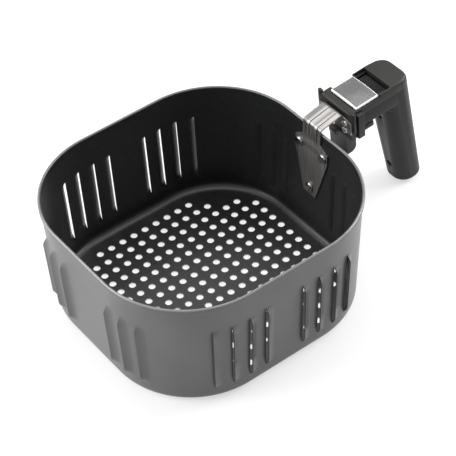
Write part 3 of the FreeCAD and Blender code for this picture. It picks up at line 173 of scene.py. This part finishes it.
# %% Plastic materials
# the eroded texture is about 0.3 mm; it is drawn at 0.9 mm so that it shows
eroded_mm = 0.9
# matt black that turns grey where it faces the light
handle_plastic = finish("black_spark_textured_abs", ("#161514", "#1d1c1b"), (0.4, 0.5), eroded_mm,
                        {"IOR": 1.5, "Specular IOR Level": 0.25}, cloud_mm=30.0, dents=(0.12, 0.0003))
# darker and smoother than the handle, so the ribs show as thin lines
button_plastic = finish("black_satin_abs", ("#0f0f0f", "#141414"), (0.4, 0.5), eroded_mm,
                        {"IOR": 1.5, "Specular IOR Level": 0.2}, cloud_mm=30.0, dents=(0.06, 0.0003))
# waxy dark grey
lever_plastic = finish("grey_acetal", ("#3a3a3b", "#414142"), (0.3, 0.38), 1.2, satin,
                       cloud_mm=30.0, dents=(0.04, 0.0003))
# a clear plate that is slightly hazy from handling
clear = finish("clear_acrylic", ("#7b7b7b", "#7d7d7d"), (0.16, 0.22), 6.0,
               {"IOR": 1.49, "Transmission Weight": 0.6})
# painted glow: light that runs inside the plate leaves it at the edges, so they are painted almost white
edge_glow_painted = finish("acrylic_edge_painted_glow", ("#f4f4f4", "#ffffff"), (0.25, 0.35), 3.0,
                    {"IOR": 1.49, "Transmission Weight": 0.05})

# %% [markdown]
# ## Piece helper
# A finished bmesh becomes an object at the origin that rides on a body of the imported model. Edges sharper
# than a limit stay crisp, and all other surfaces are shaded smooth. A modifier could split the edges too,
# but marking them keeps the mesh closed.

# %% Make a piece
crisp = radians(35)


def piece(name, bm, body, materials, replaced):
    for face in bm.faces:
        face.smooth = True
    for edge in bm.edges:
        edge.smooth = len(edge.link_faces) == 2 and edge.calc_face_angle() < crisp
    mesh = bpy.data.meshes.new(name)
    bm.to_mesh(mesh)
    bm.free()
    for material in materials:
        mesh.materials.append(material)
    made = bpy.data.objects.new(name, mesh)
    bpy.context.scene.collection.objects.link(made)
    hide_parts(replaced)
    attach(made, body)
    print(name, len(mesh.polygons), "faces")


# %% [markdown]
# ## Basket wall as a flat blank
# The press draws the tub from one flat sheet, then slits its wall and pushes the louvres out. They could be
# cut into a finished wall with booleans, but those leave ragged faces on a round corner. It is easier to
# think of the wall as unrolled: a flat grid gets its cut lines, the slits are opened, one side of each slit
# is lifted, and at the end every point is carried onto the wall's outline. The sheet stays one smooth
# surface, and the louvres flow into the wall.

# %% Outline of the wall, in millimetres
draft = radians(2.35)
lean = tan(draft)
sheet = 0.8
# half sizes and corner radius of the wall's outer face at the floor
half_length, half_width, corner = 95.03, 90.83, 63.13
# lengths along the blank are true at this height, the middle of the louvres
true_level = 41.0
run_corner = corner + true_level * lean
straight_length, straight_width = half_length - corner, half_width - corner
quarter = straight_length + straight_width + run_corner * pi / 2
print("blank", round(4 * quarter, 1), "mm long")

# %% [markdown]
# ## Round at the floor and folded rim
# The die leaves a round between floor and wall, and the sheet's upper edge is folded outwards and pressed
# flat, so that no sharp edge is left to touch. Both could be rounded by a bevel afterwards. In the blank
# they are simply more height: a length of sheet that later bends through an angle, so its finish runs on
# unbroken.

# %% Heights along the sheet, from the floor's edge to the end of the hem
fillet, fillet_turn = 7.0, pi / 2 - draft
fillet_top = fillet * tan(fillet_turn / 2)
rim_level, roll, hem_drop = 93.4, 0.2, 2.0
low_edge = fillet_top - fillet * fillet_turn
high_edge = rim_level + roll * pi + hem_drop
print("sheet from", round(low_edge, 2), "to", round(high_edge, 2), "mm")

# %% [markdown]
# ## Louvres
# A louvre is a slit whose one side is pushed out into a hood, and hot air blows through it along the wall.
# The hood could be a piece of its own, but the press makes it from the same sheet, so here too it stays
# part of the wall. A louvre needs a place along the blank for its mouth, two heights for its ends, and how
# far it rises.

# %% Places of the louvres
louvre_low, louvre_high = 12.5, 69.5
louvre_rise, louvre_width, louvre_end = 3.2, 7.0, 6.5
louvre_pitch, side_first, end_first = 13.4, 15.5, 25.4
side_runs = [side_first + louvre_pitch * n for n in range(4)]
end_runs = [end_first + louvre_pitch * n for n in range(3)]
mouths = []
for wall in range(4):
    runs, shift = (end_runs, 0.0) if wall % 2 == 0 else (side_runs, louvre_width / 2)
    mouths += [quarter * wall + run - shift for run in [-r for r in reversed(runs)] + runs]
print(len(mouths), "louvres")

# %% Cut a mesh along straight lines
def cut_lines(bm, axis, places, inside=None):
    normal = Vector((0, 0, 0))
    normal[axis] = 1
    for place in places:
        faces = [face for face in bm.faces if not inside or inside(face.calc_center_median())]
        edges = {edge for face in faces for edge in face.edges}
        verts = {vert for face in faces for vert in face.verts}
        bmesh.ops.bisect_plane(bm, geom=list(verts) + list(edges) + faces, plane_co=normal * place,
                               plane_no=normal)


# %% Flat grid with a line at every place that bends
bm = bmesh.new()
bmesh.ops.create_grid(bm, x_segments=1, y_segments=1, size=0.5)
bmesh.ops.scale(bm, vec=(4 * quarter, high_edge - low_edge, 1), verts=bm.verts)
bmesh.ops.translate(bm, vec=(1.5 * quarter, (low_edge + high_edge) / 2, 0), verts=bm.verts)

widest_column = 4.5
# steps from a louvre's mouth over its width; the first and the last lie just outside
steps_across = [-0.8, 0.0, 0.9, 2.0, 3.5, 5.0, 6.1, 7.0, 7.8]
column_lines = [mouth + step for mouth in mouths for step in steps_across]
stops = [-0.5 * quarter] + column_lines + [3.5 * quarter]
for left, right in zip(stops, stops[1:]):
    count = int((right - left) // widest_column)
    column_lines += [left + (right - left) * n / (count + 1) for n in range(1, count + 1)]
cut_lines(bm, 0, sorted(column_lines))

bend_steps = 8
# steps from a louvre's end towards its middle, and rows where the sheet is plain
steps_at_ends = [-0.8, 0.0, 0.8, 1.8, 3.2, 4.8, 6.5, 7.6]
plain_rows = [26.0, 34.0, 41.0, 48.0, 56.0, 78.0, 86.0]
row_lines = plain_rows + [fillet_top - fillet * fillet_turn * n / bend_steps for n in range(bend_steps)]
row_lines += [louvre_low + step for step in steps_at_ends] + [louvre_high - step for step in steps_at_ends]
row_lines += [rim_level + roll * pi * n / bend_steps for n in range(bend_steps + 1)]
cut_lines(bm, 1, sorted(row_lines))
print("grid", len(bm.faces), "faces")

# %% Slit the sheet
near = 0.01


def at(value, place):
    return abs(value - place) < near


slits = [edge for edge in bm.edges if at(edge.verts[0].co.x, edge.verts[1].co.x)
         and all(louvre_low - near < v.co.y < louvre_high + near for v in edge.verts)
         and any(at(edge.verts[0].co.x, mouth) for mouth in mouths)]
bmesh.ops.split_edges(bm, edges=slits)
print("slit edges", len(slits))

# %% Lift one side of each slit
lifted = 0
for vert in bm.verts:
    if not louvre_low < vert.co.y < louvre_high:
        continue
    middle = sum(face.calc_center_median().x for face in vert.link_faces) / len(vert.link_faces)
    for mouth in mouths:
        if mouth - near < vert.co.x < mouth + louvre_width and middle > mouth:
            fade = (1 - (vert.co.x - mouth) / louvre_width) ** 2
            nearest = min(vert.co.y - louvre_low, louvre_high - vert.co.y)
            vert.co.z = louvre_rise * fade * sin(min(nearest / louvre_end, 1.0) * pi / 2)
            lifted += 1
print("lifted points", lifted)

# %% Carry the blank round the outline
def outline(run):
    side = round(run / quarter)
    run -= side * quarter
    face, straight = (half_length, straight_width) if side % 2 == 0 else (half_width, straight_length)
    over = copysign(max(abs(run) - straight, 0.0), run)
    out = Vector((cos(over / run_corner), sin(over / run_corner), 0))
    foot = Vector((face - corner, run - over, 0)) + out * corner
    turn = Matrix.Rotation(side * pi / 2, 3, "Z")
    return turn @ foot, turn @ out


def section(height):
    if height < fillet_top:
        angle = (fillet_top - height) / fillet
        reach = fillet_top * sin(draft) + fillet * (cos(angle + draft) - cos(draft))
        return reach, fillet_top * cos(draft) - fillet * (sin(angle + draft) - sin(draft))
    if height > rim_level:
        angle = min((height - rim_level) / roll, pi)
        drop = height - rim_level - angle * roll
        return (rim_level - drop) * lean + roll * (1 - cos(angle)), rim_level + roll * sin(angle) - drop
    return height * lean, height


seam = [v for v in bm.verts if at(v.co.x, stops[0]) or at(v.co.x, stops[-1])]
for vert in bm.verts:
    foot, out = outline(vert.co.x)
    reach, rise = section(vert.co.y)
    vert.co = foot + out * (reach + vert.co.z) + Vector((0, 0, rise))
bmesh.ops.remove_doubles(bm, verts=seam, dist=0.001)
print("points joined at the seam", len(seam))

# %% [markdown]
# ## Floor
# The floor is flat and closes the bottom of the wall. Its round holes stand on a square grid with a pitch
# of 10 mm, and the grid's corners are left out where the basket's corners turn. Punching the holes one by
# one with booleans would be slow. Circles are laid on the floor instead, and one fill joins them to the
# wall's lower edge.

# %% Fill the floor round its holes
pitch, hole_radius, hole_sides = 10.0, 2.6, 20
columns_aside, rows_aside = 8, 8
grid_half_length, grid_half_width = columns_aside * pitch, (rows_aside - 0.5) * pitch
# a straight line over each corner of the grid leaves out a triangle of this length and width
corner_length, corner_width = 38, 26

loop = [edge for edge in bm.edges if edge.is_boundary and all(v.co.z < near for v in edge.verts)]
floor_level = loop[0].verts[0].co.z
holes = 0
for column in range(-columns_aside, columns_aside + 1):
    for row in range(-rows_aside, rows_aside):
        x, y = column * pitch, (row + 0.5) * pitch
        if (grid_half_length - abs(x)) / corner_length + (grid_half_width - abs(y)) / corner_width >= 1:
            ring = bmesh.ops.create_circle(bm, segments=hole_sides, radius=hole_radius,
                                           matrix=Matrix.Translation((x, y, floor_level)))
            loop += list({edge for vert in ring["verts"] for edge in vert.link_edges})
            holes += 1
bmesh.ops.triangle_fill(bm, use_beauty=True, edges=loop, normal=(0, 0, -1))
bmesh.ops.recalc_face_normals(bm, faces=bm.faces)
print("floor holes", holes, "faces", len(bm.faces))

# %% [markdown]
# ## Sheet thickness
# The blank is the sheet's outer face. Thickening it inwards gives the inner face, the cut edges of the
# slits and the walls of the holes. A Solidify modifier would do the same, but here the new faces have to be
# told apart: the inner face takes the darker coat, painted as shade, the hole walls are painted light, and
# the outward half of the rim's fold carries a painted highlight.

# %% Thicken the sheet
outer = set(bm.faces)
bmesh.ops.solidify(bm, geom=bm.faces[:], thickness=-sheet)
# inner and outer face hang together at the rim and at every hole, so the whole shell turns outwards at once
bmesh.ops.recalc_face_normals(bm, faces=bm.faces)
print("box", [round(min(v.co[n] for v in bm.verts), 2) for n in range(3)],
      [round(max(v.co[n] for v in bm.verts), 2) for n in range(3)])

# %% Give each face of the sheet its finish
skin, upright = 0.1, 0.5
fixed = "basket_and_handle"
finishes = [coat_outside, coat_inside_painted_shade, hole_wall_painted_light, fold_painted_highlight]
for face in bm.faces:
    spot = face.calc_center_median()
    outward = face.normal.x * spot.x + face.normal.y * spot.y > 0
    fold = spot.z > rim_level + roll
    hem = outward and spot.z > rim_level - hem_drop - skin
    hole_wall = skin < spot.z < sheet - skin and abs(face.normal.z) < upright
    # the outer face, the hem and the fold take the grey coat, and the inner face the inside coat painted
    # dark as shade
    shown = coat_outside if face in outer or hem or fold else coat_inside_painted_shade
    # the hole walls get the pale finish that paints light onto them
    if hole_wall:
        shown = hole_wall_painted_light
    # the outward half of the fold gets the painted highlight
    elif fold and outward:
        shown = fold_painted_highlight
    face.material_index = finishes.index(shown)
bmesh.ops.scale(bm, vec=(0.001, 0.001, 0.001), verts=bm.verts)
piece("drawn_basket", bm, fixed, finishes, "basket")

# %% [markdown]
# ## Crown of the top cover
# On the real handle the cover's top is nearly flat, and its edge grows rounder towards the back, where it
# follows the grip's outline. Two low walls stand beside the button's channel behind the guard. Sculpting
# could give this, but a formula for the height keeps both sides alike. The cover's top is cut into narrow
# strips, and every point of it is set to the formula's height.

# %% Height of the crown, in the handle's frame and millimetres
handle_start, handle_tilt = Vector((0.119, 0, 0.095)), radians(-4)
handle_place = (Matrix.Translation(handle_start) @ Matrix.Rotation(handle_tilt, 4, "Y")
                @ Matrix.Scale(0.001, 4))
to_handle = handle_place.inverted()

deck, lip_front, lip_inside = 8.5, 28.4, 13.85
crown_front, crown_back, crown_half, crown_top = 38.5, 57.3, 15.15, 11.4
plan_round, side_fall = 9.0, 0.3
# radius of the top's edge beside the channel and at the back, and where it grows from one to the other
edge_front, edge_back, edge_start, edge_end = 1.0, 3.0, 42.0, 52.0


def crown_height(u, v):
    along, aside = u - crown_back + plan_round, abs(v) - crown_half + plan_round
    reach = hypot(along, aside) if min(along, aside) > 0 else max(along, aside)
    grown = min(max((u - edge_start) / (edge_end - edge_start), 0), 1)
    edge = edge_front + (edge_back - edge_front) * grown
    deep = min(max(plan_round - reach, 0), edge)
    return crown_top - side_fall * (v / crown_half) ** 2 - edge + sqrt(edge ** 2 - (edge - deep) ** 2)


print("crown", round(crown_height(edge_start, 0), 2), "mm high, back edge",
      round(crown_height(crown_back, 0), 2), "mm")

# %% Cut the cover's top into strips
# cuts across and along the crown, closer together towards its edges
crown_across = [3.0, 5.0, 6.5, 8.0, 9.0, 10.0, 10.8, 11.6, 12.3, 13.0, lip_inside, 14.6, 14.9]
crown_along = [41.0, 43.0, 45.0, 46.5, 48.0, 49.0, 50.0, 50.8, 51.6, 52.4, 53.2, 54.0, 54.7, 55.3, 55.9,
               56.4, 56.8, 57.1]
# only what lies above this height is the cover's top
top_start, margin = 5.0, 1.0


def cut_crown(bm):
    cut_lines(bm, 1, crown_across + [-v for v in crown_across],
              lambda spot: spot.x > lip_front - margin and spot.z > top_start)
    cut_lines(bm, 0, [lip_front], lambda spot: abs(spot.y) > lip_inside - margin and spot.z > top_start)
    cut_lines(bm, 0, crown_along, lambda spot: spot.x > crown_front and spot.z > top_start)


# %% Raise the low side walls and set the crown's height
# how much of a face's normal points up: level faces, and all that count as top
level, upward = 0.9, 0.15


def on_lip(face):
    spot = face.calc_center_median()
    beside_channel = lip_front < spot.x < crown_front and abs(spot.y) > lip_inside
    return beside_channel and face.normal.z > level and abs(spot.z - deck) < skin


def at_joint(face):
    spot = face.calc_center_median()
    return at(spot.x, crown_front) and abs(spot.y) > lip_inside and spot.z > deck


def soft_crown(bm):
    bmesh.ops.transform(bm, matrix=to_handle, verts=bm.verts)
    cut_crown(bm)
    top = set()
    for face in bm.faces:
        spot = face.calc_center_median()
        if spot.x > crown_front and spot.z > top_start and face.normal.z > upward:
            top.update(face.verts)
    lips = [face for face in bm.faces if on_lip(face)]
    raised = bmesh.ops.extrude_face_region(bm, geom=lips)["geom"]
    top.update(item for item in raised if isinstance(item, bmesh.types.BMVert))
    bmesh.ops.delete(bm, geom=lips, context="FACES_ONLY")
    for vert in bm.verts:
        height = crown_height(vert.co.x, vert.co.y)
        if vert in top or (vert.co.x > crown_front - near and vert.co.z > height):
            vert.co.z = height
    # the low walls run into the crown, so the faces between them go and the points there are joined
    bm.normal_update()
    joint = [face for face in bm.faces if at_joint(face)]
    bmesh.ops.delete(bm, geom=joint, context="FACES_ONLY")
    bmesh.ops.remove_doubles(bm, verts=[vert for vert in bm.verts if at(vert.co.x, crown_front)], dist=near)
    loose = [edge for edge in bm.edges if not edge.link_faces]
    bmesh.ops.delete(bm, geom=loose, context="EDGES")
    print("crown", len(top), "points set,", len(joint), "joint faces taken out")
    bmesh.ops.transform(bm, matrix=handle_place, verts=bm.verts)


# %% [markdown]
# ## Bright edges of the clear guard
# A clear plate carries light inside, and it comes out where the plate ends. A renderer would need very many
# rays to find that light. A narrow border with an almost white finish gives the same look at once, so the
# plate's top is cut along its four edges.

# %% Border of the guard's plate
border = 0.6


def bright_edges(bm):
    bmesh.ops.transform(bm, matrix=to_handle, verts=bm.verts)
    limits = []
    for axis in (0, 1):
        places = [vert.co[axis] for vert in bm.verts if vert.co.z > deck]
        limits.append((min(places) + border, max(places) - border))
        cut_lines(bm, axis, limits[axis], lambda spot: spot.z > deck)
    bm.normal_update()
    bright = []
    for face in bm.faces:
        spot = face.calc_center_median()
        outside = any(not low < spot[axis] < high for axis, (low, high) in enumerate(limits))
        if abs(face.normal.z) < upright or (outside and spot.z > deck):
            bright.append(face)
    print("guard", len(bright), "bright faces")
    bmesh.ops.transform(bm, matrix=handle_place, verts=bm.verts)
    return bright


# %% [markdown]
# ## Moulded and stamped pieces
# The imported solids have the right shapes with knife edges. A real moulding or stamping has a small radius
# on every edge, and that radius is what catches the light. Modelling the pieces anew would risk their fit.
# Each solid is copied instead, its triangles are joined into whole faces, and its sharp edges get a rounded
# bevel. The bevel is held back where short edges meet, so that it never overlaps itself. On these meshes it
# comes out narrower than asked for: between about 0.2 mm and almost nothing.

# %% Copies with rounded edges
same_point, same_plane = 0.000002, radians(0.1)


def finished(node, body, materials, edge_mm, name, reshape=None):
    bm = bmesh.new()
    bm.from_mesh(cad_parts[node].data)
    bmesh.ops.remove_doubles(bm, verts=bm.verts, dist=same_point)
    bmesh.ops.dissolve_limit(bm, angle_limit=same_plane, verts=bm.verts, edges=bm.edges)
    if reshape:
        reshape(bm)
    if edge_mm:
        sharp = [edge for edge in bm.edges if len(edge.link_faces) == 2 and edge.calc_face_angle() > crisp]
        rounded = bmesh.ops.bevel(bm, geom=sharp, offset=edge_mm / 1000, offset_type="OFFSET", segments=2,
                                  profile=0.5, affect="EDGES", material=-1, clamp_overlap=True)
        if len(materials) > 1:
            for face in rounded["faces"] + bright_edges(bm):
                face.material_index = 1
    bmesh.ops.holes_fill(bm, edges=[edge for edge in bm.edges if edge.is_boundary], sides=0)
    piece(name, bm, body, materials, node)


# %% Strap, mouldings and moving pieces
finished("handle_strap", fixed, [brushed_strip], 0.2, "brushed_strap")
finished("wall_rivets", fixed, [rivet_metal], 0, "domed_rivets")
finished("front_block", fixed, [handle_plastic], 0.4, "moulded_front_block")
finished("handle_shell", fixed, [handle_plastic], 0.5, "moulded_grip_shell")
finished("top_cover", fixed, [handle_plastic], 0.5, "moulded_top_cover", soft_crown)
finished("grip_cover", fixed, [handle_plastic], 0.5, "moulded_grip_cover")
finished("hatch_cover", fixed, [handle_plastic], 0.4, "moulded_hatch")
finished("release_button", "button", [button_plastic], 0.3, "ribbed_button")
finished("latch_lever", "latch", [lever_plastic], 0.3, "moulded_latch")
finished("button_guard", "guard", [clear, edge_glow_painted], 0.5, "clear_guard")

# %% [markdown]
# ## Small hardware
# Pin, screws and springs sit inside the handle or show only a head. They could get bevels too, but nobody
# would see them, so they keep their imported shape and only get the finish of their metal.

# %% Pin, screws and springs
finished("latch_pin", fixed, [plain_steel], 0, "ground_pin")
finished("plate_screws", fixed, [plain_steel], 0, "strap_screws")
finished("hatch_screws", fixed, [plain_steel], 0, "tray_screws")
finished("grip_screws", fixed, [black_steel], 0, "cover_screws")
finished("top_cover_screws", fixed, [plain_steel], 0, "inner_screws")
for side in ("left", "right"):
    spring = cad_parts["button_spring_" + side]
    spring.data.materials.clear()
    spring.data.materials.append(plain_steel)
    print(spring.name, "keeps its packed shape")

# %% [markdown]
# ## Camera
# The photograph was taken from above the corner of the basket, with a long lens. The camera could be set by
# eye, but a square hole grid is as good as a ruler: angles, distance and lens come from a fit to the
# floor's holes and the rim, and the picture then lies over the photograph.

# %% Camera
azimuth, elevation, camera_roll = radians(-35.74), radians(44.63), radians(-2.92)
aside_mm, above_mm, away_mm = 14.98, 41.51, 1239.5
focal_px, image_px = 1747, 456
back = Vector((sin(azimuth) * cos(elevation), -cos(azimuth) * cos(elevation), sin(elevation)))
right = Vector((cos(azimuth), sin(azimuth), 0))
up = back.cross(right)
turned_right = cos(camera_roll) * right + sin(camera_roll) * up
turned_up = -sin(camera_roll) * right + cos(camera_roll) * up
# the fit was made to the holes' upper edges, one sheet above the table
place = turned_right * aside_mm + turned_up * above_mm + back * away_mm + Vector((0, 0, sheet))
lens = bpy.data.cameras.new("camera")
lens.sensor_width = 36.0
lens.lens = lens.sensor_width * focal_px / image_px
camera = bpy.data.objects.new("camera", lens)
bpy.context.scene.collection.objects.link(camera)
camera.matrix_world = Matrix((turned_right, turned_up, back)).transposed().to_4x4()
camera.matrix_world.translation = place / 1000
bpy.context.scene.camera = camera
print("camera", [round(c, 3) for c in camera.matrix_world.translation], "lens", round(lens.lens, 1), "mm")

# %% [markdown]
# ## White room and table
# The photograph has a white background with only a soft shadow under the basket. A large white room could
# be built, but it would flood the basket with light. Rays can be told apart instead: those that show the
# room to the eye find it white, and those that carry light to a surface find it dim. The table works the
# same way, and keeps some of its shadow.

# %% White room
def seen_rays(tree):
    rays = add(tree, "ShaderNodeLightPath", {})
    seen = rays.outputs["Is Camera Ray"]
    for kind in ("Is Glossy Ray", "Is Transmission Ray"):
        seen = add(tree, "ShaderNodeMath", {0: seen, 1: rays.outputs[kind]}, operation="MAXIMUM").outputs[0]
    return seen


world = bpy.data.worlds.new("white_room")
bpy.context.scene.world = world
world.use_nodes = True
tree = world.node_tree
tree.nodes.clear()
fill = add(tree, "ShaderNodeBackground", {"Color": linear("#ffffff"), "Strength": 0.25})
white = add(tree, "ShaderNodeBackground", {"Color": linear("#ffffff"), "Strength": 1.0})
both = add(tree, "ShaderNodeMixShader", {0: seen_rays(tree), 1: fill.outputs[0], 2: white.outputs[0]})
add(tree, "ShaderNodeOutputWorld", {"Surface": both.outputs[0]})
print("world", world.name)

# %% Floor
floor_half, floor_gap = 3.0, 0.0002
bm = bmesh.new()
bmesh.ops.create_grid(bm, x_segments=1, y_segments=1, size=floor_half)
bmesh.ops.translate(bm, vec=(0, 0, -floor_gap), verts=bm.verts)
mesh = bpy.data.meshes.new("floor")
bm.to_mesh(mesh)
bm.free()
floor = bpy.data.objects.new("floor", mesh)
bpy.context.scene.collection.objects.link(floor)
material, tree = new_material("white_table")
# a matt table that keeps the shadow; part of what the camera sees of it is plain white, as over a light box
glow_share = 0.6
share = add(tree, "ShaderNodeMath", {0: seen_rays(tree), 1: glow_share}, operation="MULTIPLY")
shade = add(tree, "ShaderNodeBsdfDiffuse", {"Color": linear("#f2f2f2")})
glow = add(tree, "ShaderNodeEmission", {"Color": linear("#ffffff"), "Strength": 1.0})
both = add(tree, "ShaderNodeMixShader", {0: share.outputs[0], 1: shade.outputs[0], 2: glow.outputs[0]})
add(tree, "ShaderNodeOutputMaterial", {"Surface": both.outputs[0]})
mesh.materials.append(material)
print("floor", 2 * floor_half, "m wide")

# %% [markdown]
# ## Lamps
# A studio lights metal and dark plastic with wide softboxes, because what shows on such surfaces is mostly
# the lamps' reflections. An environment image could do it, but three square lamps are easy to move. The
# left one gives the main light, the top one fills, and the small right one lights the handle.

# %% Lamps that face the origin
def lamp(name, position, size, power):
    light = bpy.data.lights.new(name, "AREA")
    light.size = size
    light.energy = power
    made = bpy.data.objects.new(name, light)
    bpy.context.scene.collection.objects.link(made)
    made.location = position
    made.rotation_euler = Vector(position).to_track_quat("Z", "Y").to_euler()
    print(name, power, "W")


lamp("softbox_left", (-1.0, 0.65, 0.65), 1.0, 25.0)
lamp("softbox_top", (0.2, 0.25, 1.4), 1.5, 20.0)
lamp("softbox_right", (0.75, -0.22, 0.5), 0.4, 6.5)

# %% Colour view transform
bpy.context.scene.view_settings.view_transform = "Standard"
